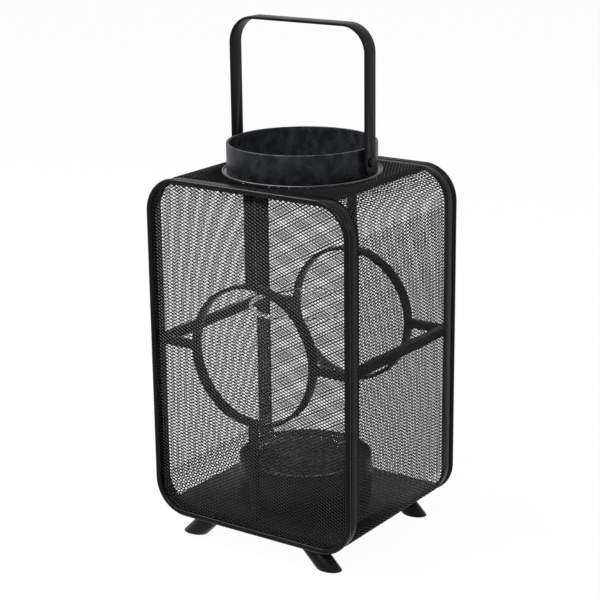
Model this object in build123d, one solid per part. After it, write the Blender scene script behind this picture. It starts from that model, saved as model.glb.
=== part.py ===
"""Mesh candle lantern: two rod hoops joined by a mesh sleeve, with rings, plinth, glass and a bail handle.

Millimetres, +Z up, floor at z = 0, front face towards -Y, origin under the middle of the lantern.
"""
import os
from math import cos, radians, sin

from build123d import *

# Hoops: two rounded rectangles of round rod, front and back
hoop_w = 210.0
hoop_h = 314.0
rod_d = 5.5
hoop_depth = 175.6
hoop_low = 23.2

# Sheet and strip stock
mesh_t = 1.0
band_t = 1.5
band_deep = 12.5
band_in = 0.0
mesh_lap = 3.0

# Rings, spokes and side bars
ring_mid_r = 63.4
ring_t = 3.0
ring_deep = 11.0
ring_rise = 163.8
spoke_wide = 7.5
spoke_deep = 7.0
bar_size = 8.0

# Base tray, plinth and feet
tray_rise = 8.4
tray_t = 1.5
tray_lip = 2.0
plinth_r = 61.7
plinth_rise = 47.5
plinth_wall = 2.0
plinth_floor_t = 1.5
plinth_recess = 5.0
foot_d = 18.0
foot_side = 30.0
foot_inset = 1.55
foot_lean = 45.0

# Collar and flange on the top, with the sheet left in front of the collar and beside it
collar_edge = 6.95
collar_side = 7.4
collar_wall = 2.5
collar_rise = 29.6
flange_wide = 4.2
flange_t = 2.0

# Handle strap and its rivets
strap_wide = 15.0
strap_t = 2.5
strap_stand_off = 2.6
strap_corner = 25.0
strap_rise = 137.1
pivot_rise = 17.5
strap_tip = 12.0
rivet_r = 2.5
rivet_head_r = 4.0
rivet_head_t = 2.0
washer_r = 4.5

# Glass
glass_r = 50.0
glass_wall = 3.0
glass_base = 7.0
glass_h = 151.0

# Named clearances
weld_gap = 0.05
pivot_gap = 0.08
side_gap = 0.3

# Net gaps: pitch and size of a diamond, plain margins and the smallest part of a diamond that is cut
net_pitch = (48.0, 36.0)
net_gap = (42.0, 30.0)
top_pitch = (16.0, 16.0)
top_gap = (12.0, 12.0)
net_margin = 6.0
top_margin = 3.0
smallest_gap = 0.2

# Sizes that follow from those above
rod_r = rod_d / 2
hoop_high = hoop_low + hoop_h
hoop_mid = hoop_low + hoop_h / 2
hoop_y = hoop_depth / 2
half_w = hoop_w / 2
mesh_out_y = hoop_y - rod_r
mesh_in_y = mesh_out_y - mesh_t
band_rear_y = mesh_in_y - band_deep
band_out = band_in + band_t
sleeve_half = band_rear_y + mesh_lap
sleeve_out = band_out + mesh_t
collar_r = sleeve_half - collar_edge
flat_half = collar_r + collar_side
hoop_corner = half_w - flat_half
foot_x = half_w - foot_side
foot_y = sleeve_half - foot_inset
spoke_rear_y = mesh_in_y - spoke_deep
ring_out_r = ring_mid_r + ring_t / 2
ring_in_r = ring_mid_r - ring_t / 2
ring_z = hoop_low + ring_rise
spoke_end_x = half_w + band_in
spoke_end_z = hoop_high + band_in
tray_top = hoop_low + tray_rise
band_under = hoop_low - band_out
plinth_top = hoop_low + plinth_rise
plinth_floor = plinth_top - plinth_recess
sleeve_low = hoop_high + band_out
sleeve_top = hoop_high + sleeve_out
collar_top = hoop_high + collar_rise
strap_in_x = collar_r + strap_stand_off
strap_out_x = strap_in_x + strap_t
strap_top = hoop_high + strap_rise
pivot_z = hoop_high + pivot_rise


def wall(y: float) -> Plane:
    """Upright plane at depth y, with local y pointing up and the hoop middle as its origin."""
    return Plane(origin=(0, y, hoop_mid), x_dir=(1, 0, 0), z_dir=(0, -1, 0))


def outline(grow: float) -> Sketch:
    """Rounded rectangle that runs a set distance outside the hoop centreline."""
    return RectangleRounded(hoop_w + 2 * grow, hoop_h + 2 * grow, hoop_corner + grow)


def slab(sketch: Sketch, y0: float, y1: float) -> Part:
    """Sketch on the upright plane given a thickness from y0 to y1."""
    return extrude(wall(y0) * sketch, amount=y1 - y0, dir=(0, 1, 0))


def block(x0: float, x1: float, y0: float, y1: float, z0: float, z1: float) -> Part:
    """Box between two corners."""
    middle = Pos((x0 + x1) / 2, (y0 + y1) / 2, (z0 + z1) / 2)
    return middle * Box(x1 - x0, y1 - y0, z1 - z0)


def tube(r_out: float, r_in: float, z0: float, z1: float) -> Part:
    """Upright pipe on the lantern axis."""
    ring = Circle(r_out) - Circle(r_in)
    return extrude(Plane.XY.offset(z0) * ring, amount=z1 - z0)


def diamonds(field: Sketch, pitch: tuple, size: tuple) -> list:
    """Staggered diamond gaps cut off at the edge of a field, without the smallest corners."""
    gap = Polygon((-size[0] / 2, 0), (0, -size[1] / 2), (size[0] / 2, 0), (0, size[1] / 2))
    extent = field.bounding_box().size
    columns = int(extent.X / pitch[0] / 2) + 1
    rows = int(extent.Y / pitch[1] / 2) + 1
    found = []
    for shift in (0.0, 0.5):
        for i in range(-columns, columns + 1):
            for j in range(-rows, rows + 1):
                piece = field & (Pos((i + shift) * pitch[0], (j + shift) * pitch[1]) * gap)
                if piece and piece.area > smallest_gap * gap.area:
                    found.append(piece)
    return found


def save(name: str, shape) -> None:
    """Write one node."""
    export_step(shape, f"parts/{name}.step")


def hoop(y: float) -> Part:
    """Round rod bent to the rounded rectangle."""
    path = (wall(y) * outline(0)).wire()
    start = Plane(origin=path @ 0, z_dir=path % 0)
    return sweep(start * Circle(rod_r), path=path)


def face_net(y0: float, y1: float) -> Part:
    """Flat net that fills one hoop."""
    gaps = diamonds(outline(-net_margin), net_pitch, net_gap)
    return slab(outline(0) - gaps, y0, y1)


def side_net(side: int) -> Part:
    """Flat net between the hoops on one side."""
    tall = hoop_h - 2 * hoop_corner
    wide = 2 * sleeve_half
    gaps = diamonds(Rectangle(wide - 2 * net_margin, tall - 2 * top_margin), net_pitch, net_gap)
    plane = Plane(origin=(side * (half_w + band_out), 0, hoop_mid), x_dir=(0, 1, 0), z_dir=(1, 0, 0))
    return extrude(plane * (Rectangle(wide, tall) - gaps), amount=mesh_t, dir=(side, 0, 0))


def top_net() -> Part:
    """Flat net on the top with the round hole that the collar passes through."""
    clear_r = collar_r + flange_wide
    field = Rectangle(2 * (flat_half - top_margin), 2 * (sleeve_half - top_margin)) - Circle(clear_r)
    gaps = diamonds(field, top_pitch, top_gap)
    sheet = Rectangle(2 * flat_half, 2 * sleeve_half) - Circle(collar_r + weld_gap) - gaps
    return extrude(Plane.XY.offset(sleeve_low) * sheet, amount=mesh_t)


def bend(side: int, up: int) -> Part:
    """Quarter-round length of the sleeve where it follows a hoop corner, with gaps cut along its diagonal."""
    ring = Circle(hoop_corner + sleeve_out) - Circle(hoop_corner + band_out)
    reach = hoop_corner + sleeve_out
    quarter = Pos(side * reach / 2, up * reach / 2) * Rectangle(reach, reach)
    centre_z = up * (hoop_h / 2 - hoop_corner)
    sheet = slab(Pos(side * flat_half, centre_z) * (ring & quarter), -sleeve_half, sleeve_half)
    chord = 2 * (hoop_corner + band_out) * sin(radians(45))
    field = Rectangle(2 * (sleeve_half - net_margin), chord - 2 * top_margin)
    diagonal = Plane(origin=(side * flat_half, 0, hoop_mid + centre_z), x_dir=(0, 1, 0), z_dir=(side, 0, up))
    cuts = [extrude(diagonal * gap, amount=2 * reach) for gap in diamonds(field, net_pitch, net_gap)]
    return sheet - cuts


def spokes(face: int) -> dict:
    """Four square bars from one ring to the band and the tray."""
    y0, y1 = sorted((face * mesh_in_y, face * spoke_rear_y))
    half = spoke_wide / 2
    start = ring_out_r + weld_gap
    bore = slab(Pos(0, ring_z - hoop_mid) * Circle(start), y0, y1)
    return {
        "left": block(-spoke_end_x, 0, y0, y1, ring_z - half, ring_z + half) - bore,
        "right": block(0, spoke_end_x, y0, y1, ring_z - half, ring_z + half) - bore,
        "top": block(-half, half, y0, y1, ring_z, spoke_end_z) - bore,
        "bottom": block(-half, half, y0, y1, tray_top, ring_z) - bore,
    }


def foot(side: int, face: int) -> Part:
    """Short round leg that leans out sideways, cut flat at the floor and under the band."""
    length = 4 * band_under
    rod = Rot(0, -side * foot_lean, 0) * Cylinder(foot_d / 2, length)
    reach = foot_d + band_under
    slice_box = block(-reach, reach, -foot_d, foot_d, 0, band_under)
    return Pos(side * foot_x, face * foot_y, 0) * (rod & slice_box)


def handle() -> Part:
    """Flat strap bent to a U, with tapered ends and a rivet hole in each leg."""
    low = pivot_z - strap_tip
    tall = strap_top - low
    half = strap_out_x
    outer = Pos(0, strap_top - tall - hoop_mid) * RectangleRounded(2 * half, 2 * tall, strap_corner)
    inner_size = (2 * strap_in_x, 2 * (tall - strap_t), strap_corner - strap_t)
    inner = Pos(0, strap_top - tall - hoop_mid) * RectangleRounded(*inner_size)
    arch = slab(outer - inner, -strap_wide / 2, strap_wide / 2)
    straight = Pos(0, (strap_top - pivot_z) / 2) * Rectangle(strap_wide, strap_top - pivot_z)
    side_view = straight + Ellipse(strap_wide / 2, strap_tip)
    plane = Plane(origin=(-strap_out_x, 0, pivot_z), x_dir=(0, 1, 0), z_dir=(1, 0, 0))
    strap = arch & extrude(plane * side_view, amount=2 * strap_out_x, dir=(1, 0, 0))
    hole = Pos(0, 0, pivot_z) * Rot(0, 90, 0) * Cylinder(rivet_r + pivot_gap, 3 * strap_out_x)
    return strap - hole


def rivet(side: int) -> Part:
    """Washer, shank and domed head on the side of the collar."""
    seat_x = collar_r + weld_gap
    washer_x = strap_in_x - side_gap
    head_x = strap_out_x + side_gap
    profile = Polyline(
        (0, seat_x),
        (washer_r, seat_x),
        (washer_r, washer_x),
        (rivet_r, washer_x),
        (rivet_r, head_x),
        (rivet_head_r, head_x),
        (rivet_head_r, head_x + rivet_head_t / 2),
        (rivet_head_r * cos(radians(45)), head_x + rivet_head_t * (0.5 + 0.5 * sin(radians(45)))),
        (0, head_x + rivet_head_t),
        (0, seat_x),
    )
    pin = revolve(Plane.XZ * make_face(profile), axis=Axis.Z)
    return Pos(0, 0, pivot_z) * Rot(0, side * 90, 0) * pin


def plinth() -> Part:
    """Hollow round stand with a shallow recess in its top."""
    wall_ring = tube(plinth_r, plinth_r - plinth_wall, tray_top, plinth_top)
    disc = extrude(Plane.XY.offset(plinth_floor - plinth_floor_t) * Circle(plinth_r - plinth_wall),
                   amount=plinth_floor_t)
    return wall_ring + disc


def tray() -> Part:
    """Base sheet with its edges turned down, following the low corners of the hoops at the sides."""
    tall = 2 * (tray_top - hoop_low)
    level = Pos(0, hoop_low - hoop_mid) * Rectangle(2 * hoop_w, tall)
    under = Pos(0, hoop_low - hoop_mid) * Rectangle(2 * hoop_w, tall - 2 * tray_t)
    mouth = Pos(0, hoop_low - hoop_mid) * Rectangle(2 * flat_half, tall - 2 * tray_t)
    body = slab(outline(band_in - weld_gap) & level, -mesh_in_y, mesh_in_y)
    inside = slab((outline(band_in - tray_lip) & under) + mouth, tray_lip - mesh_in_y, mesh_in_y - tray_lip)
    return body - inside


def glass() -> Part:
    """Straight glass with a thick closed base."""
    body = tube(glass_r, glass_r - glass_wall, plinth_floor, plinth_floor + glass_h)
    base = extrude(Plane.XY.offset(plinth_floor) * Circle(glass_r - glass_wall), amount=glass_base)
    return body + base


os.makedirs("parts", exist_ok=True)

for face, word in ((-1, "front"), (1, "back")):
    net_y = sorted((face * mesh_out_y, face * mesh_in_y))
    band_y = sorted((face * mesh_in_y, face * band_rear_y))
    ring_y = sorted((face * mesh_in_y, face * (mesh_in_y - ring_deep)))
    save(f"{word}_hoop", hoop(face * hoop_y))
    save(f"{word}_mesh", face_net(*net_y))
    save(f"{word}_band", slab(outline(band_out) - outline(band_in), *band_y))
    ring_sketch = Circle(ring_out_r) - Circle(ring_in_r)
    save(f"{word}_ring", slab(Pos(0, ring_z - hoop_mid) * ring_sketch, *ring_y))
    for place, bar in spokes(face).items():
        save(f"{word}_spoke_{place}", bar)
    save(f"{word}_left_foot", foot(-1, face))
    save(f"{word}_right_foot", foot(1, face))

for side, word in ((-1, "left"), (1, "right")):
    bar_x = sorted((side * spoke_end_x, side * (spoke_end_x - bar_size)))
    save(f"{word}_bar", block(*bar_x, -spoke_rear_y, spoke_rear_y,
                              ring_z - bar_size / 2, ring_z + bar_size / 2))
    save(f"{word}_mesh", side_net(side))
    save(f"{word}_top_bend", bend(side, 1))
    save(f"{word}_low_bend", bend(side, -1))
    save(f"{word}_rivet", rivet(side))

save("top_mesh", top_net())
save("base_tray", tray())
save("plinth", plinth())
save("collar", tube(collar_r, collar_r - collar_wall, sleeve_low, collar_top))
save("collar_flange", tube(collar_r + flange_wide, collar_r + weld_gap, sleeve_top, sleeve_top + flange_t))
save("handle", handle())
save("glass", glass())
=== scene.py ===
"""Looks of the mesh candle lantern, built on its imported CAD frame.

Metres, +Z up, front face towards -Y, floor at z = 0.
"""

import logging
import math
from dataclasses import dataclass, field
from enum import Enum
from typing import Any, Iterable

import bmesh
import bpy
from mathutils import Matrix, Vector, noise


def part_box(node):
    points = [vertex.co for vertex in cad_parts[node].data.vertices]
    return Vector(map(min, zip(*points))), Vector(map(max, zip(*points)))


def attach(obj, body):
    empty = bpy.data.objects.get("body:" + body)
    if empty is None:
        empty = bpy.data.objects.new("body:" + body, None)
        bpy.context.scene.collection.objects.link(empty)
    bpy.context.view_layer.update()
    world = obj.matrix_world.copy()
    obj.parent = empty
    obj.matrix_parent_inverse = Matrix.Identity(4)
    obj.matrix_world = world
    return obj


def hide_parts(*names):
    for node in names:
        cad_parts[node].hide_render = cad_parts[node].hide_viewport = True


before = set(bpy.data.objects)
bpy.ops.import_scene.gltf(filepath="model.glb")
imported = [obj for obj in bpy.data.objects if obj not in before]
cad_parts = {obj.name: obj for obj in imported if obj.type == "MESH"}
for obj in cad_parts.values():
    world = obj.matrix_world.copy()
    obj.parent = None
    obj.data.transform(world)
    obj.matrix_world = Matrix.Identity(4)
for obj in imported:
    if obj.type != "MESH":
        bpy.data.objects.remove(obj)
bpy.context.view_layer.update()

LOG = logging.getLogger("lantern")
MM = 0.001
MERGE = 1e-6
FLAT = math.radians(0.5)
SHARP = math.radians(35)
TURN = 2 * math.pi
QUARTER = math.pi / 2
PROFILE_STEPS = 4
STRAND_SIDES = 4
NOISE_MIDDLE = 0.5

Number = float | int


class Body(Enum):
    """Moving parts of the lantern."""

    LANTERN = "lantern"
    HANDLE = "handle"
    GLASS = "glass"


class Face(Enum):
    """The two mesh faces, with the side of the Y axis that each is on."""

    FRONT = -1
    BACK = 1

    @property
    def word(self) -> str:
        """Name of the face in node names."""
        return self.name.lower()


class Side(Enum):
    """The two sides of the sleeve, with the side of the X axis that each is on."""

    LEFT = -1
    RIGHT = 1

    @property
    def word(self) -> str:
        """Name of the side in node names."""
        return self.name.lower()


class Value:
    """A number socket that joins with others through the usual operators."""

    def __init__(self, graph: "Graph", socket: bpy.types.NodeSocket) -> None:
        """Wrap one output socket of a graph."""
        self.graph = graph
        self.socket = socket

    def _math(self, operation: str, first: Any, second: Any) -> "Value":
        """Add one Math node.

        Args:
            operation: Name of the Math node's operation.
            first: First operand, a Value or a number.
            second: Second operand, a Value or a number.

        Returns:
            The result as a Value.
        """
        settings = {"operation": operation}
        made = self.graph.add("ShaderNodeMath", settings, {0: first, 1: second})
        return Value(self.graph, made.outputs[0])

    def __add__(self, other: Any) -> "Value":
        """Sum."""
        return self._math("ADD", self, other)

    def __radd__(self, other: Any) -> "Value":
        """Sum with a number on the left."""
        return self._math("ADD", other, self)

    def __sub__(self, other: Any) -> "Value":
        """Difference."""
        return self._math("SUBTRACT", self, other)

    def __rsub__(self, other: Any) -> "Value":
        """Difference from a number on the left."""
        return self._math("SUBTRACT", other, self)

    def __mul__(self, other: Any) -> "Value":
        """Product."""
        return self._math("MULTIPLY", self, other)

    def __rmul__(self, other: Any) -> "Value":
        """Product with a number on the left."""
        return self._math("MULTIPLY", other, self)

    def above(self, low: Number, high: Number) -> "Value":
        """Smooth step from 0 to 1.

        Args:
            low: Where the step starts.
            high: Where it ends.

        Returns:
            The step as a Value.
        """
        settings = {"interpolation_type": "SMOOTHSTEP"}
        sockets = {"Value": self, "From Min": low, "From Max": high}
        made = self.graph.add("ShaderNodeMapRange", settings, sockets)
        return Value(self.graph, made.outputs[0])

    def larger(self, other: Any) -> "Value":
        """The larger of two values."""
        return self._math("MAXIMUM", self, other)


class Graph:
    """Node tree of a material or of the world."""

    def __init__(self, tree: bpy.types.NodeTree) -> None:
        """Empty the tree, ready for new nodes."""
        self.tree = tree
        self.tree.nodes.clear()

    @staticmethod
    def _input(node: bpy.types.Node, key: str | int) -> bpy.types.NodeSocket:
        """Find an input socket.

        Args:
            node: The node.
            key: The socket's place, identifier or name.

        Returns:
            The socket.
        """
        if isinstance(key, int):
            return node.inputs[key]
        return next((s for s in node.inputs if s.identifier == key), None) or node.inputs[key]

    def add(self, kind: str, settings: dict[str, Any] | None = None,
            sockets: dict[str | int, Any] | None = None) -> bpy.types.Node:
        """Add a node.

        Args:
            kind: The node's type name.
            settings: Properties that are set before the sockets.
            sockets: Values, Values of this graph or output sockets for its inputs.

        Returns:
            The new node.
        """
        made = self.tree.nodes.new(kind)
        for key, value in (settings or {}).items():
            setattr(made, key, value)
        for key, value in (sockets or {}).items():
            target = self._input(made, key)
            source = value.socket if isinstance(value, Value) else value
            if isinstance(source, bpy.types.NodeSocket):
                self.tree.links.new(source, target)
            else:
                target.default_value = source
        return made

    def output(self, node: bpy.types.Node, name: str | int = 0) -> Value:
        """Output socket of a node as a Value."""
        return Value(self, node.outputs[name])

    def noise(self, where: bpy.types.NodeSocket, scale: Number, detail: Number = 2.0) -> Value:
        """Fractal noise.

        Args:
            where: Coordinates that the noise reads.
            scale: Features per metre.
            detail: Octaves.

        Returns:
            The noise, about 0.5 on average.
        """
        sockets = {"Vector": where, "Scale": scale, "Detail": detail}
        return self.output(self.add("ShaderNodeTexNoise", None, sockets), 0)

    def blend(self, share: Value, first: Any, second: Any) -> bpy.types.NodeSocket:
        """Colour between two colours.

        Args:
            share: 0 for the first colour and 1 for the second.
            first: Colour or colour socket.
            second: Colour or colour socket.

        Returns:
            The mixed colour's socket.
        """
        settings = {"data_type": "RGBA"}
        sockets = {"Factor_Float": share, "A_Color": first, "B_Color": second}
        made = self.add("ShaderNodeMix", settings, sockets)
        return next(s for s in made.outputs if s.identifier == "Result_Color")


def rgba(grey: Number, warm: Number = 0.0) -> tuple[float, float, float, float]:
    """Linear grey with a little warmth as a colour."""
    return (grey * (1 + warm), grey, grey * (1 - warm), 1.0)


WHITE = rgba(1.0)


@dataclass(frozen=True)
class BlackPaint:
    """Satin black paint on steel: fine orange peel, cloudy gloss, a little pale dusting and painted top
    light on upward faces.
    """

    name: str
    grey: float = 0.004
    warmth: float = -0.03
    # Pale colour of the dusting and of the painted top light.
    dust_grey: float = 0.016
    dust: float = 0.35
    wall_dust: float = 0.25
    roughness: float = 0.30
    gloss_range: float = 0.16
    shine: float = 0.09
    dust_dulling: float = 0.1
    lying_slope: tuple[float, float] = (0.2, 0.95)
    cloud_scale: float = 22.0
    cloud_detail: float = 4.0
    cloud_edge: tuple[float, float] = (0.35, 0.7)
    speck_scale: float = 420.0
    speck_edge: tuple[float, float] = (0.62, 0.74)
    speck_share: float = 0.35
    peel_scale: float = 700.0
    peel_detail: float = 1.5
    peel_depth: float = 0.06 * MM

    def material(self) -> bpy.types.Material:
        """Build the paint.

        Returns:
            A new material.
        """
        made = bpy.data.materials.new(self.name)
        made.use_nodes = True
        graph = Graph(made.node_tree)
        where = graph.add("ShaderNodeTexCoord").outputs["Object"]
        cloud = graph.noise(where, self.cloud_scale, self.cloud_detail)
        speck = graph.noise(where, self.speck_scale).above(*self.speck_edge)
        peel = graph.noise(where, self.peel_scale, self.peel_detail)
        normal = graph.add("ShaderNodeNewGeometry").outputs["Normal"]
        lie = graph.output(graph.add("ShaderNodeSeparateXYZ", None, {0: normal}), "Z")
        # Upward faces take more of the pale colour: partly settled dusting, partly painted top light.
        lying_dust_and_top_light = self.wall_dust + (1 - self.wall_dust) * lie.above(*self.lying_slope)
        dust = self.dust * lying_dust_and_top_light * cloud.above(*self.cloud_edge) + self.speck_share * speck * cloud
        colour = graph.blend(dust, rgba(self.grey, self.warmth), rgba(self.dust_grey, self.warmth))
        roughness = self.roughness + self.gloss_range * (cloud - NOISE_MIDDLE) + self.dust_dulling * dust
        bump = graph.add("ShaderNodeBump", None, {
            "Strength": 1.0, "Distance": self.peel_depth, "Height": peel})
        shader = graph.add("ShaderNodeBsdfPrincipled", None, {
            "Base Color": colour,
            "Roughness": roughness,
            "Specular IOR Level": self.shine,
            "Normal": bump.outputs["Normal"],
        })
        graph.add("ShaderNodeOutputMaterial", None, {"Surface": shader.outputs[0]})
        return made


@dataclass(frozen=True)
class ClearGlass:
    """Clear pressed glass: full rim, half-clear base and a nearly clear wall with smears and a grey-blue
    layer in vertical streaks, partly smear and partly painted reflection.
    """

    name: str
    colour: tuple[float, float, float, float] = (0.97, 0.985, 0.98, 1.0)
    ior: float = 1.47
    smear: float = 0.002
    smear_scale: float = 60.0
    smear_detail: float = 3.0
    smear_edge: tuple[float, float] = (0.42, 0.68)
    smear_stretch: tuple[float, float, float] = (1.0, 1.0, 0.08)
    wall_body: float = 0.006
    base_body: float = 0.5
    # Grey-blue diffuse layer on the wall: partly smear, partly painted reflection of the surroundings.
    film_colour: tuple[float, float, float, float] = (0.55, 0.58, 0.62, 1.0)
    film_roughness: float = 0.5
    least_smear_and_reflection: float = 0.006
    most_smear_and_reflection: float = 0.05
    rim_tall: float = 2.5 * MM
    base_tall: float = 8.0 * MM
    fade: float = 1.5 * MM
    level_slope: tuple[float, float] = (0.9, 0.99)

    def material(self) -> bpy.types.Material:
        """Build the glass.

        Returns:
            A new material.
        """
        made = bpy.data.materials.new(self.name)
        made.use_nodes = True
        graph = Graph(made.node_tree)
        where = graph.add("ShaderNodeTexCoord").outputs["Object"]
        # Smears drawn out into vertical streaks; they also place the painted reflection.
        drawn = graph.add("ShaderNodeVectorMath", {"operation": "MULTIPLY"}, {
            0: where, 1: self.smear_stretch}).outputs[0]
        smear = graph.noise(drawn, self.smear_scale, self.smear_detail).above(*self.smear_edge)
        low, high = (corner.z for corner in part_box("glass"))
        height = graph.output(graph.add("ShaderNodeSeparateXYZ", None, {0: where}), "Z")
        normal = graph.add("ShaderNodeNewGeometry").outputs["Normal"]
        lie = graph.output(graph.add("ShaderNodeSeparateXYZ", None, {0: normal}), "Z")
        rim = height.above(high - self.rim_tall - self.fade, high - self.rim_tall)
        base = 1 - height.above(low + self.base_tall, low + self.base_tall + self.fade)
        ends = rim.larger(self.base_body * base * (1 - lie.above(*self.level_slope)))
        body = ends.larger(self.wall_body)
        shader = graph.add("ShaderNodeBsdfPrincipled", None, {
            "Base Color": self.colour,
            "Roughness": self.smear * smear,
            "IOR": self.ior,
            "Transmission Weight": 1.0,
            "Alpha": body,
        })
        # Thin grey-blue diffuse layer, thicker on the streaks: partly smear, partly painted reflection;
        # none on the rim.
        smear_and_reflection_layer = graph.add("ShaderNodeBsdfPrincipled", None, {
            "Base Color": self.film_colour, "Roughness": self.film_roughness})
        share = (self.least_smear_and_reflection + (self.most_smear_and_reflection - self.least_smear_and_reflection) * smear) * (1 - rim)
        mixed = graph.add("ShaderNodeMixShader", None, {
            0: share, 1: shader.outputs[0], 2: smear_and_reflection_layer.outputs[0]})
        graph.add("ShaderNodeOutputMaterial", None, {"Surface": mixed.outputs[0]})
        return made


@dataclass
class Finishes:
    """The lantern's finishes: one per material slot, and two more for the collar."""

    made: dict[str, bpy.types.Material] = field(default_factory=dict)
    kinds: tuple[BlackPaint | ClearGlass, ...] = (
        BlackPaint("frame_paint", roughness=0.24, gloss_range=0.10, shine=0.085),
        BlackPaint("mesh_paint", dust=0.25, roughness=0.24, shine=0.115),
        BlackPaint("sheet_paint", grey=0.002, dust_grey=0.012, dust=0.2, roughness=0.30, shine=0.16),
        # On the collar the pale share paints a highlight along its level rim; on its walls it gives
        # mottled pale patches.
        BlackPaint("collar_paint", grey=0.006, warmth=-0.14, roughness=0.36, dust=0.9, wall_dust=0.20,
                   dust_grey=0.080, shine=0.11, cloud_scale=120.0),
        BlackPaint("edge_paint", warmth=-0.1, roughness=0.38, shine=0.9),
        BlackPaint("strap_paint", roughness=0.38, shine=0.085),
        BlackPaint("foot_paint", shine=0.11),
        BlackPaint("rivet_paint"),
        ClearGlass("glass"),
    )

    def build(self) -> None:
        """Make every material."""
        for kind in self.kinds:
            self.made[kind.name] = kind.material()

    def coat(self, piece: bpy.types.Object, slot: str) -> None:
        """Put one finish on a piece, in place of what it had."""
        piece.data.materials.clear()
        piece.data.materials.append(self.made[slot])


@dataclass
class Assembly:
    """Ways to turn meshes into pieces, shared by every part of the lantern."""

    finishes: Finishes

    def piece(self, name: str, shape: bmesh.types.BMesh, slot: str, body: Body,
              nodes: Iterable[str] = (), finish: str = "") -> bpy.types.Object:
        """Finish a mesh as a piece of the lantern.

        Args:
            name: The piece's name.
            shape: Its mesh, which is used up.
            slot: Its material slot, whose finish it gets.
            body: The body that it moves with.
            nodes: CAD nodes that it stands for.
            finish: Name of its finish, if that is not the slot's own.

        Returns:
            The piece's object.
        """
        mesh = bpy.data.meshes.new(name)
        shape.to_mesh(mesh)
        shape.free()
        mesh.shade_smooth()
        mesh.set_sharp_from_angle(angle=SHARP)
        made = bpy.data.objects.new(name, mesh)
        bpy.context.scene.collection.objects.link(made)
        self.finishes.coat(made, finish or slot)
        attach(made, body.value)
        if nodes:
            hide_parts(*nodes)
        mesh.calc_loop_triangles()
        LOG.info("%s: %d triangles", name, len(mesh.loop_triangles))
        return made

    def keep(self, node: str, slot: str) -> bpy.types.Object:
        """Dress a CAD node that is shown as it is.

        Args:
            node: The CAD node.
            slot: Its material slot, whose finish it gets.

        Returns:
            The node's object.
        """
        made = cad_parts[node]
        self.finishes.coat(made, slot)
        LOG.info("%s: CAD node kept", node)
        return made

    def soften(self, node: str, slot: str, body: Body, radius: float, segments: int = 2,
               finish: str = "") -> bpy.types.Object:
        """Replace a CAD node by a copy with rounded edges.

        Args:
            node: The CAD node.
            slot: Its material slot, whose finish it gets.
            body: The body that it moves with.
            radius: Rounding of its sharp edges.
            segments: Steps of that rounding.
            finish: Name of its finish, if that is not the slot's own.

        Returns:
            The new piece.
        """
        shape = merged_copy(node)
        edges = [e for e in shape.edges if e.is_manifold and e.calc_face_angle() > SHARP]
        round_edges(shape, edges, radius, segments)
        return self.piece(f"{node}_coated", shape, slot, body, [node], finish)


def merged_copy(node: str) -> bmesh.types.BMesh:
    """Copy a CAD node's mesh with joined corners and whole flat faces.

    Args:
        node: The CAD node.

    Returns:
        The copy.
    """
    shape = bmesh.new()
    shape.from_mesh(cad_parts[node].data)
    bmesh.ops.remove_doubles(shape, verts=shape.verts, dist=MERGE)
    bmesh.ops.dissolve_limit(shape, angle_limit=FLAT, verts=shape.verts, edges=shape.edges)
    return shape


def round_edges(shape: bmesh.types.BMesh, edges: list[bmesh.types.BMEdge], radius: float,
                segments: int) -> None:
    """Bevel edges of a mesh.

    Args:
        shape: The mesh.
        edges: Its edges to round.
        radius: Width of the bevel.
        segments: Steps of the bevel.
    """
    bmesh.ops.bevel(shape, geom=edges, offset=radius, offset_type="OFFSET", segments=segments,
                    profile=0.5, affect="EDGES", clamp_overlap=True, material=-1)


def lathe(corners: Iterable[tuple[float, float, float]], steps: int,
          ring: bool = False) -> bmesh.types.BMesh:
    """Turn a profile about the Z axis.

    Args:
        corners: Radius, height and rounding of each corner of the profile.
        steps: Facets round the axis.
        ring: True if the profile is a closed loop clear of the axis.

    Returns:
        The turned shape.
    """
    shape = bmesh.new()
    points = [shape.verts.new((radius, 0, height)) for radius, height, _ in corners]
    for first, second in zip(points, points[1:] + points[:1] if ring else points[1:]):
        shape.edges.new((first, second))
    for point, (_, _, rounding) in zip(points, corners):
        if rounding:
            bmesh.ops.bevel(shape, geom=[point], offset=rounding, offset_type="OFFSET",
                            segments=PROFILE_STEPS, profile=0.5, affect="VERTICES", material=-1)
    bmesh.ops.spin(shape, geom=shape.verts[:] + shape.edges[:], cent=(0, 0, 0), axis=(0, 0, 1),
                   angle=TURN, steps=steps, use_merge=True)
    bmesh.ops.remove_doubles(shape, verts=shape.verts, dist=MERGE)
    bmesh.ops.recalc_face_normals(shape, faces=shape.faces)
    return shape


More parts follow.
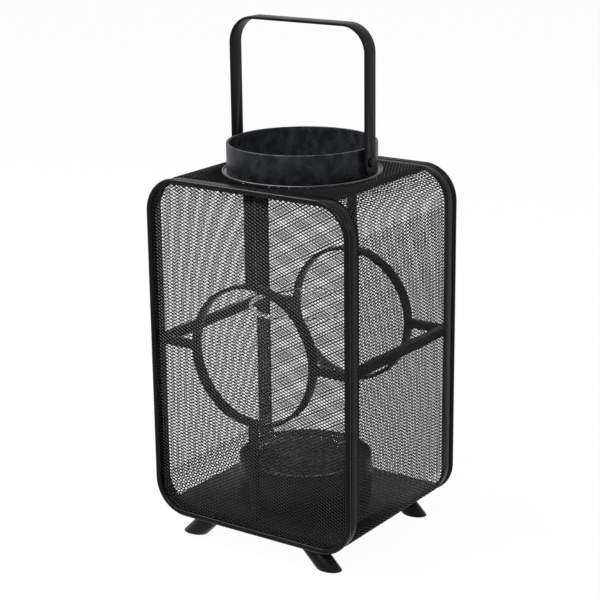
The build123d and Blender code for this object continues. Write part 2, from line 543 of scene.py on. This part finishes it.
@dataclass(frozen=True)
class ExpandedMetal:
    """Pattern of the mesh: zigzag strands that meet at their corners.

    The strands are tilted about their length, and a wavy drift keeps a flat sheet from looking ruled.
    """

    long_way: float = 5.75 * MM
    short_way: float = 3.15 * MM
    strand_wide: float = 0.83 * MM
    strand_thick: float = 0.30 * MM
    lean: float = 0.10 * MM
    bond: float = 0.12 * MM
    tilt: float = -40.0
    sway_size: float = 0.55 * MM
    sway_waves: float = 28.0
    sway_start: Vector = Vector((0.0, 0.0, 0.0))
    sway_seed: int = 1
    calm_power: int = 4

    def strand(self, halves: int, half_step: float, rise: float, first_up: bool) -> bmesh.types.BMesh:
        """One zigzag strand along X, centred, with its depth along Y.

        Args:
            halves: Straight runs in the strand.
            half_step: Length of a run along X.
            rise: Height of a run along Z.
            first_up: True if the first run goes up.

        Returns:
            The strand's mesh.
        """
        shape = bmesh.new()
        end = bmesh.ops.create_grid(shape, x_segments=1, y_segments=1, size=0.5)["verts"]
        bmesh.ops.scale(shape, vec=(self.strand_thick, self.strand_wide, 1), verts=end)
        # The section stands across X, its thickness along Y and its width along Z.
        stand = Matrix(((0, 0, 1), (1, 0, 0), (0, 1, 0)))
        bmesh.ops.rotate(shape, cent=(0, 0, 0), matrix=stand, verts=end)
        tilt = Matrix.Rotation(math.radians(self.tilt), 3, "X")
        bmesh.ops.rotate(shape, cent=(0, 0, 0), matrix=tilt, verts=end)
        low_high = (-0.5, 0.5) if first_up else (0.5, -0.5)
        start = Vector((-halves * half_step / 2, low_high[0] * 2 * self.lean, low_high[0] * rise))
        bmesh.ops.translate(shape, vec=start, verts=end)
        tip = shape.faces[:]
        for run in range(halves):
            way = (low_high[1] - low_high[0]) * (-1) ** run
            grown = bmesh.ops.extrude_face_region(shape, geom=tip)["geom"]
            tip = [g for g in grown if isinstance(g, bmesh.types.BMFace)]
            verts = [g for g in grown if isinstance(g, bmesh.types.BMVert)]
            bmesh.ops.translate(shape, vec=(half_step, way * 2 * self.lean, way * rise), verts=verts)
        return shape

    def pair(self, length: float, pitch: float) -> bmesh.types.BMesh:
        """Two neighbouring strands, one row of diamonds, centred on the origin.

        Args:
            length: Length of the row along X.
            pitch: Height of the row along Z.

        Returns:
            Mesh of the two strands.
        """
        halves = round(length / (self.long_way / 2))
        half_step = length / halves
        rise = pitch / 2 - self.bond
        shape = self.strand(halves, half_step, rise, True)
        bmesh.ops.translate(shape, vec=(0, 0, -pitch / 4), verts=shape.verts)
        other = self.strand(halves, half_step, rise, False)
        bmesh.ops.translate(other, vec=(0, 0, pitch / 4), verts=other.verts)
        join(shape, other)
        bmesh.ops.recalc_face_normals(shape, faces=shape.faces)
        return shape

    def rows(self, height: float) -> int:
        """Number of rows of diamonds that fill a height."""
        return max(1, round(height / self.short_way))

    def flat(self, length: float, height: float) -> bmesh.types.BMesh:
        """Flat sheet in the XZ plane, centred on the origin.

        Args:
            length: Size along X, the long way of the diamonds.
            height: Size along Z, the short way.

        Returns:
            Mesh of all its strands.
        """
        count = self.rows(height)
        pitch = height / count
        shape = self.pair(length, pitch)
        bmesh.ops.translate(shape, vec=(0, 0, (pitch - height) / 2), verts=shape.verts)
        if count > 1:
            repeat(shape, count - 1, step=Vector((0, 0, pitch)))
        self.sway(shape, length, height)
        return shape

    def sway(self, shape: bmesh.types.BMesh, length: float, height: float) -> None:
        """Let the strands of a flat sheet wander, as stretched metal does.

        Args:
            shape: The sheet in the XZ plane, centred on the origin.
            length: Its size along X, which stays.
            height: Its size along Z, which stays.
        """
        noise.seed_set(self.sway_seed)
        for vert in shape.verts:
            spot = vert.co * self.sway_waves + self.sway_start
            across, upward = 2 * vert.co.x / length, 2 * vert.co.z / height
            calm = (1 - across ** self.calm_power) * (1 - upward ** self.calm_power)
            drift = noise.noise_vector(Vector((spot.x, 0.0, spot.z))) * self.sway_size * max(calm, 0.0)
            vert.co += Vector((drift.x, 0.0, drift.z))

    def bent(self, length: float, radius: float, lap: float = 0.0) -> bmesh.types.BMesh:
        """Quarter of a round bend about the X axis.

        Args:
            length: Size along X, the long way of the diamonds.
            radius: Radius of the sheet's middle.
            lap: Share of the bend, from its end, where a second sheet laps over it.

        Returns:
            Mesh that starts at -Y, level with the axis, and ends above it.
        """
        count = self.rows(radius * QUARTER)
        row = QUARTER / count
        shape = self.bent_rows(length, radius, row, row / 2, count)
        lapped = round(count * lap)
        if lapped:
            join(shape, self.bent_rows(length, radius, row, QUARTER - lapped * row, lapped))
        return shape

    def bent_rows(self, length: float, radius: float, row: float, start: float,
                  count: int) -> bmesh.types.BMesh:
        """Rows of diamonds round the X axis.

        Args:
            length: Size along X.
            radius: Radius of the sheet's middle.
            row: Angle of one row.
            start: Angle of the first row's middle, from -Y upwards.
            count: Number of rows.

        Returns:
            Mesh of the rows.
        """
        shape = self.pair(length, radius * row)
        bmesh.ops.translate(shape, vec=(0, -radius, 0), verts=shape.verts)
        turn = Matrix.Rotation(-start, 3, "X")
        bmesh.ops.rotate(shape, cent=(0, 0, 0), matrix=turn, verts=shape.verts)
        repeat(shape, count - 1, turn=-row)
        return shape


def join(shape: bmesh.types.BMesh, other: bmesh.types.BMesh) -> None:
    """Add another mesh to a mesh.

    Args:
        shape: The mesh that grows.
        other: The mesh that is added and freed.
    """
    carried = bpy.data.meshes.new("carried")
    other.to_mesh(carried)
    other.free()
    shape.from_mesh(carried)
    bpy.data.meshes.remove(carried)


def repeat(shape: bmesh.types.BMesh, times: int, step: Vector = Vector(), turn: float = 0.0) -> None:
    """Repeat a whole mesh along a line or round the X axis.

    Args:
        shape: The mesh, which keeps its first copy.
        times: Number of further copies.
        step: Way from one copy to the next.
        turn: Angle about X from one copy to the next.
    """
    bmesh.ops.spin(shape, geom=shape.verts[:] + shape.edges[:] + shape.faces[:], cent=(0, 0, 0),
                   axis=(1, 0, 0), dvec=step, angle=turn * times, steps=times, use_duplicate=True)


def trim(shape: bmesh.types.BMesh, gone: list[bmesh.types.BMVert]) -> None:
    """Delete vertices and close the cut strands.

    Args:
        shape: The mesh.
        gone: Vertices to delete.
    """
    bmesh.ops.delete(shape, geom=gone, context="VERTS")
    cut = [e for e in shape.edges if e.is_boundary]
    bmesh.ops.holes_fill(shape, edges=cut, sides=STRAND_SIDES)


@dataclass
class MeshFaces(Assembly):
    """The two sheets of mesh that fill the hoops."""

    metals: dict[Face, ExpandedMetal] = field(default_factory=lambda: {
        Face.FRONT: ExpandedMetal(), Face.BACK: ExpandedMetal(sway_start=Vector((3.7, 0.0, 9.2)))})
    corner: float = 30 * MM

    def build(self) -> None:
        """Build the front and the back sheet."""
        for face in Face:
            node = f"{face.word}_mesh"
            low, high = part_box(node)
            size, middle = high - low, (high + low) / 2
            shape = self.metals[face].flat(size.x, size.z)
            flat = Vector((size.x / 2 - self.corner, 0, size.z / 2 - self.corner))
            gone = [v for v in shape.verts
                    if abs(v.co.x) > flat.x and abs(v.co.z) > flat.z
                    and math.hypot(abs(v.co.x) - flat.x, abs(v.co.z) - flat.z) > self.corner]
            trim(shape, gone)
            turn = Matrix.Rotation(math.pi if face is Face.BACK else 0.0, 3, "Z")
            bmesh.ops.rotate(shape, cent=(0, 0, 0), matrix=turn, verts=shape.verts)
            bmesh.ops.translate(shape, vec=middle, verts=shape.verts)
            self.piece(f"{face.word}_expanded_mesh", shape, "mesh_paint", Body.LANTERN, [node])


@dataclass
class MeshSleeve(Assembly):
    """The sheet of mesh that runs round between the hoops."""

    metal: ExpandedMetal = ExpandedMetal()
    turned: ExpandedMetal = ExpandedMetal(tilt=40.0)
    still: ExpandedMetal = ExpandedMetal(strand_wide=0.87 * MM, sway_size=0.0)
    lap: float = 0.2

    def build(self) -> None:
        """Build the sides, the bends and the top."""
        for side in Side:
            self.side(side)
            for word, up in (("top", 1), ("low", -1)):
                self.bend(side, word, up)
        self.top()

    def side(self, side: Side) -> None:
        """Build the flat mesh on one side.

        Args:
            side: Left or right.
        """
        node = f"{side.word}_mesh"
        low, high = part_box(node)
        shape = self.metal.flat(high.y - low.y, high.z - low.z)
        turn = Matrix.Rotation(side.value * QUARTER, 3, "Z")
        bmesh.ops.rotate(shape, cent=(0, 0, 0), matrix=turn, verts=shape.verts)
        bmesh.ops.translate(shape, vec=(low + high) / 2, verts=shape.verts)
        self.piece(f"{side.word}_expanded_mesh", shape, "mesh_paint", Body.LANTERN, [node])

    def bend(self, side: Side, word: str, up: int) -> None:
        """Build the mesh that follows one corner of the hoops.

        Args:
            side: Left or right.
            word: Name of the corner's height.
            up: 1 for the top corner and -1 for the low one.
        """
        node = f"{side.word}_{word}_bend"
        low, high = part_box(node)
        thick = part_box(f"{side.word}_mesh")[1].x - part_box(f"{side.word}_mesh")[0].x
        metal = self.turned if side is Side.RIGHT and up > 0 else self.metal
        lap = self.lap if up > 0 else 0.0
        shape = metal.bent(high.y - low.y, high.x - low.x - thick / 2, lap)
        turn = Matrix.Rotation(side.value * QUARTER, 3, "Z")
        bmesh.ops.rotate(shape, cent=(0, 0, 0), matrix=turn, verts=shape.verts)
        bmesh.ops.scale(shape, vec=(1, 1, up), verts=shape.verts)
        bmesh.ops.recalc_face_normals(shape, faces=shape.faces)
        axis_x = low.x if side is Side.RIGHT else high.x
        axis_z = low.z if up > 0 else high.z
        bmesh.ops.translate(shape, vec=(axis_x, (low.y + high.y) / 2, axis_z), verts=shape.verts)
        self.piece(f"{side.word}_{word}_expanded_bend", shape, "mesh_paint", Body.LANTERN, [node])

    def top(self) -> None:
        """Build the flat mesh on the top, with its round hole."""
        low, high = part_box("top_mesh")
        shape = self.still.flat(high.y - low.y, high.x - low.x)
        # The sheet lies level with its front down and its long way from front to back.
        lay = Matrix(((0, 0, -1), (-1, 0, 0), (0, 1, 0)))
        bmesh.ops.rotate(shape, cent=(0, 0, 0), matrix=lay, verts=shape.verts)
        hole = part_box("collar")[1].x
        trim(shape, [v for v in shape.verts if v.co.xy.length < hole])
        bmesh.ops.translate(shape, vec=(low + high) / 2, verts=shape.verts)
        self.piece("top_expanded_mesh", shape, "mesh_paint", Body.LANTERN, ["top_mesh"])


@dataclass
class RodFrame(Assembly):
    """Hoops, bands, rings, spokes and side bars."""

    strip_rounding: float = 0.35 * MM
    bar_rounding: float = 0.7 * MM

    def build(self) -> None:
        """Dress the hoops and build the softened strips and bars."""
        for face in Face:
            self.keep(f"{face.word}_hoop", "frame_paint")
            for strip in ("band", "ring"):
                self.soften(f"{face.word}_{strip}", "frame_paint", Body.LANTERN, self.strip_rounding)
            for place in ("left", "right", "top", "bottom"):
                node = f"{face.word}_spoke_{place}"
                self.soften(node, "frame_paint", Body.LANTERN, self.bar_rounding)
        for side in Side:
            self.soften(f"{side.word}_bar", "frame_paint", Body.LANTERN, self.bar_rounding)


@dataclass
class Base(Assembly):
    """Tray, plinth and feet."""

    sheet_rounding: float = 0.4 * MM
    foot_rounding: float = 0.6 * MM

    def build(self) -> None:
        """Build the softened base pieces."""
        for node in ("base_tray", "plinth"):
            self.soften(node, "sheet_paint", Body.LANTERN, self.sheet_rounding)
        for face in Face:
            for side in Side:
                node = f"{face.word}_{side.word}_foot"
                self.soften(node, "foot_paint", Body.LANTERN, self.foot_rounding)


@dataclass
class Collar(Assembly):
    """Short open cylinder on the top and its flat lip."""

    rim_rounding: float = 0.8 * MM
    rim_steps: int = 3
    bead_wide: float = 1.6 * MM
    bead_rounding: float = 0.75 * MM
    lip_thick: float = 0.9 * MM
    facets: int = 160

    def build(self) -> None:
        """Build the softened collar and its lip."""
        self.soften("collar", "sheet_paint", Body.LANTERN, self.rim_rounding, self.rim_steps,
                    "collar_paint")
        self.lip()

    def lip(self) -> None:
        """Build the flat lip with a bead along its edge."""
        low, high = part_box("collar_flange")
        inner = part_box("collar")[1].x
        shape = lathe((
            (inner, low.z, 0),
            (high.x, low.z, self.bead_rounding),
            (high.x, high.z, self.bead_rounding),
            (high.x - self.bead_wide, high.z, self.bead_rounding),
            (high.x - self.bead_wide, low.z + self.lip_thick, 0),
            (inner, low.z + self.lip_thick, 0),
        ), self.facets, True)
        self.piece("beaded_lip", shape, "sheet_paint", Body.LANTERN, ["collar_flange"], "edge_paint")


@dataclass
class BailHandle(Assembly):
    """Strap handle and the rivets that it swings on."""

    strap_rounding: float = 0.5 * MM
    washer_thick: float = 2.25 * MM
    shank_radius: float = 2.5 * MM
    head_radius: float = 4.0 * MM
    head_thick: float = 2.0 * MM
    dome: float = 1.7 * MM
    edge: float = 0.3 * MM
    rivet_facets: int = 48

    def build(self) -> None:
        """Build the softened strap and rivets."""
        self.soften("handle", "strap_paint", Body.HANDLE, self.strap_rounding)
        for side in Side:
            self.rivet(side)

    def rivet(self, side: Side) -> None:
        """Build one washer, shank and domed head.

        Args:
            side: Left or right.
        """
        node = f"{side.word}_rivet"
        low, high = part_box(node)
        length, washer_radius = high.x - low.x, (high.z - low.z) / 2
        head = length - self.head_thick
        shape = lathe((
            (0, 0, 0),
            (washer_radius, 0, self.edge),
            (washer_radius, self.washer_thick, self.edge),
            (self.shank_radius, self.washer_thick, 0),
            (self.shank_radius, head, 0),
            (self.head_radius, head, self.edge),
            (self.head_radius, length, self.dome),
            (0, length, 0),
        ), self.rivet_facets)
        lay = Matrix.Rotation(side.value * QUARTER, 3, "Y")
        bmesh.ops.rotate(shape, cent=(0, 0, 0), matrix=lay, verts=shape.verts)
        seat = low.x if side is Side.RIGHT else high.x
        middle = (low + high) / 2
        bmesh.ops.translate(shape, vec=(seat, middle.y, middle.z), verts=shape.verts)
        self.piece(f"{side.word}_domed_rivet", shape, "rivet_paint", Body.LANTERN, [node])


@dataclass
class CandleGlass(Assembly):
    """Straight glass with a thick base."""

    wall: float = 3 * MM
    base: float = 7 * MM
    foot_rounding: float = 3 * MM
    rim_rounding: float = 1.4 * MM
    floor_rounding: float = 4 * MM
    facets: int = 96

    def build(self) -> None:
        """Build the turned glass."""
        low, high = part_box("glass")
        radius = (high.x - low.x) / 2
        inner = radius - self.wall
        floor = low.z + self.base
        shape = lathe((
            (0, low.z, 0),
            (radius, low.z, self.foot_rounding),
            (radius, high.z, self.rim_rounding),
            (inner, high.z, self.rim_rounding),
            (inner, floor, self.floor_rounding),
            (0, floor, 0),
        ), self.facets)
        self.piece("candle_glass", shape, "glass", Body.GLASS, ["glass"])


@dataclass(frozen=True)
class Softbox:
    """Square studio lamp."""

    name: str
    place: tuple[float, float, float]
    power: float
    size: float = 0.6

    def build(self, target: Vector) -> None:
        """Hang the lamp and point it.

        Args:
            target: The point that it lights.
        """
        light = bpy.data.lights.new(self.name, "AREA")
        light.size = self.size
        light.energy = self.power
        made = bpy.data.objects.new(self.name, light)
        bpy.context.scene.collection.objects.link(made)
        made.location = self.place
        way = target - Vector(self.place)
        made.rotation_euler = way.to_track_quat("-Z", "Y").to_euler()


@dataclass
class Studio:
    """Floor, light and camera."""

    azimuth: float = 34.97
    elevation: float = 16.52
    roll: float = -0.70
    target: tuple[float, float, float] = (-0.00427, 0.0, 0.2185)
    distance: float = 1.5996
    lens: float = 105.2
    sensor: float = 36.0
    floor_size: float = 30.0
    floor_grey: float = 0.85
    floor_white: float = 0.97
    ambient: float = 0.2
    lamps: tuple[Softbox, ...] = (
        Softbox("left_softbox", (-1.25, -0.20, 2.00), 32.0),
        Softbox("right_softbox", (1.75, 0.85, 1.05), 7.0, 0.5),
        Softbox("front_softbox", (0.60, -1.75, 1.35), 20.0),
        Softbox("top_softbox", (-0.35, -1.20, 2.05), 25.0),
    )

    def build(self) -> None:
        """Set the stage."""
        bpy.context.scene.view_settings.view_transform = "Standard"
        self.world()
        self.floor()
        for lamp in self.lamps:
            lamp.build(Vector(self.target))
        self.camera()

    @staticmethod
    def seen(graph: Graph) -> Value:
        """Tell the rays that show the surroundings from those that light the lantern.

        Args:
            graph: Node tree that asks.

        Returns:
            1 for what the camera, a reflection or the glass shows, else 0.
        """
        path = graph.add("ShaderNodeLightPath")
        camera = graph.output(path, "Is Camera Ray")
        glossy = graph.output(path, "Is Glossy Ray")
        return camera.larger(glossy).larger(graph.output(path, "Is Transmission Ray"))

    def world(self) -> None:
        """White surroundings that light the lantern at a lower level."""
        world = bpy.data.worlds.new("studio")
        bpy.context.scene.world = world
        world.use_nodes = True
        graph = Graph(world.node_tree)
        strength = self.ambient + (1 - self.ambient) * self.seen(graph)
        shade = graph.add("ShaderNodeBackground", None, {"Color": WHITE, "Strength": strength})
        graph.add("ShaderNodeOutputWorld", None, {"Surface": shade.outputs[0]})

    def floor(self) -> None:
        """Pale floor that shows a faint shadow."""
        shape = bmesh.new()
        bmesh.ops.create_grid(shape, x_segments=1, y_segments=1, size=self.floor_size / 2)
        mesh = bpy.data.meshes.new("floor")
        shape.to_mesh(mesh)
        shape.free()
        made = bpy.data.objects.new("floor", mesh)
        bpy.context.scene.collection.objects.link(made)
        material = bpy.data.materials.new("floor_white")
        material.use_nodes = True
        graph = Graph(material.node_tree)
        matt = graph.add("ShaderNodeBsdfDiffuse", None, {"Color": rgba(self.floor_grey)})
        white = graph.add("ShaderNodeEmission", None, {"Color": WHITE, "Strength": 1.0})
        share = self.floor_white * self.seen(graph)
        mixed = graph.add("ShaderNodeMixShader", None, {
            0: share, 1: matt.outputs[0], 2: white.outputs[0]})
        graph.add("ShaderNodeOutputMaterial", None, {"Surface": mixed.outputs[0]})
        mesh.materials.append(material)

    def camera(self) -> None:
        """Put the camera where the photograph was taken from."""
        turn, lift, roll = (math.radians(a) for a in (self.azimuth, self.elevation, self.roll))
        away = math.cos(lift)
        back = Vector((math.sin(turn) * away, -math.cos(turn) * away, math.sin(lift)))
        level = Vector((math.cos(turn), math.sin(turn), 0))
        rise = back.cross(level)
        right = level * math.cos(roll) + rise * math.sin(roll)
        up = rise * math.cos(roll) - level * math.sin(roll)
        lens = bpy.data.cameras.new("camera")
        lens.lens = self.lens
        lens.sensor_width = self.sensor
        made = bpy.data.objects.new("camera", lens)
        bpy.context.scene.collection.objects.link(made)
        place = Matrix((right, up, back)).transposed().to_4x4()
        place.translation = Vector(self.target) + back * self.distance
        made.matrix_world = place
        bpy.context.scene.camera = made


def main() -> None:
    """Build the studio and every part of the lantern."""
    logging.basicConfig(level=logging.INFO, format="%(name)s %(message)s")
    Studio().build()
    finishes = Finishes()
    finishes.build()
    for part in (RodFrame, MeshFaces, MeshSleeve, Base, Collar, BailHandle, CandleGlass):
        part(finishes).build()


if __name__ == "__main__":
    main()
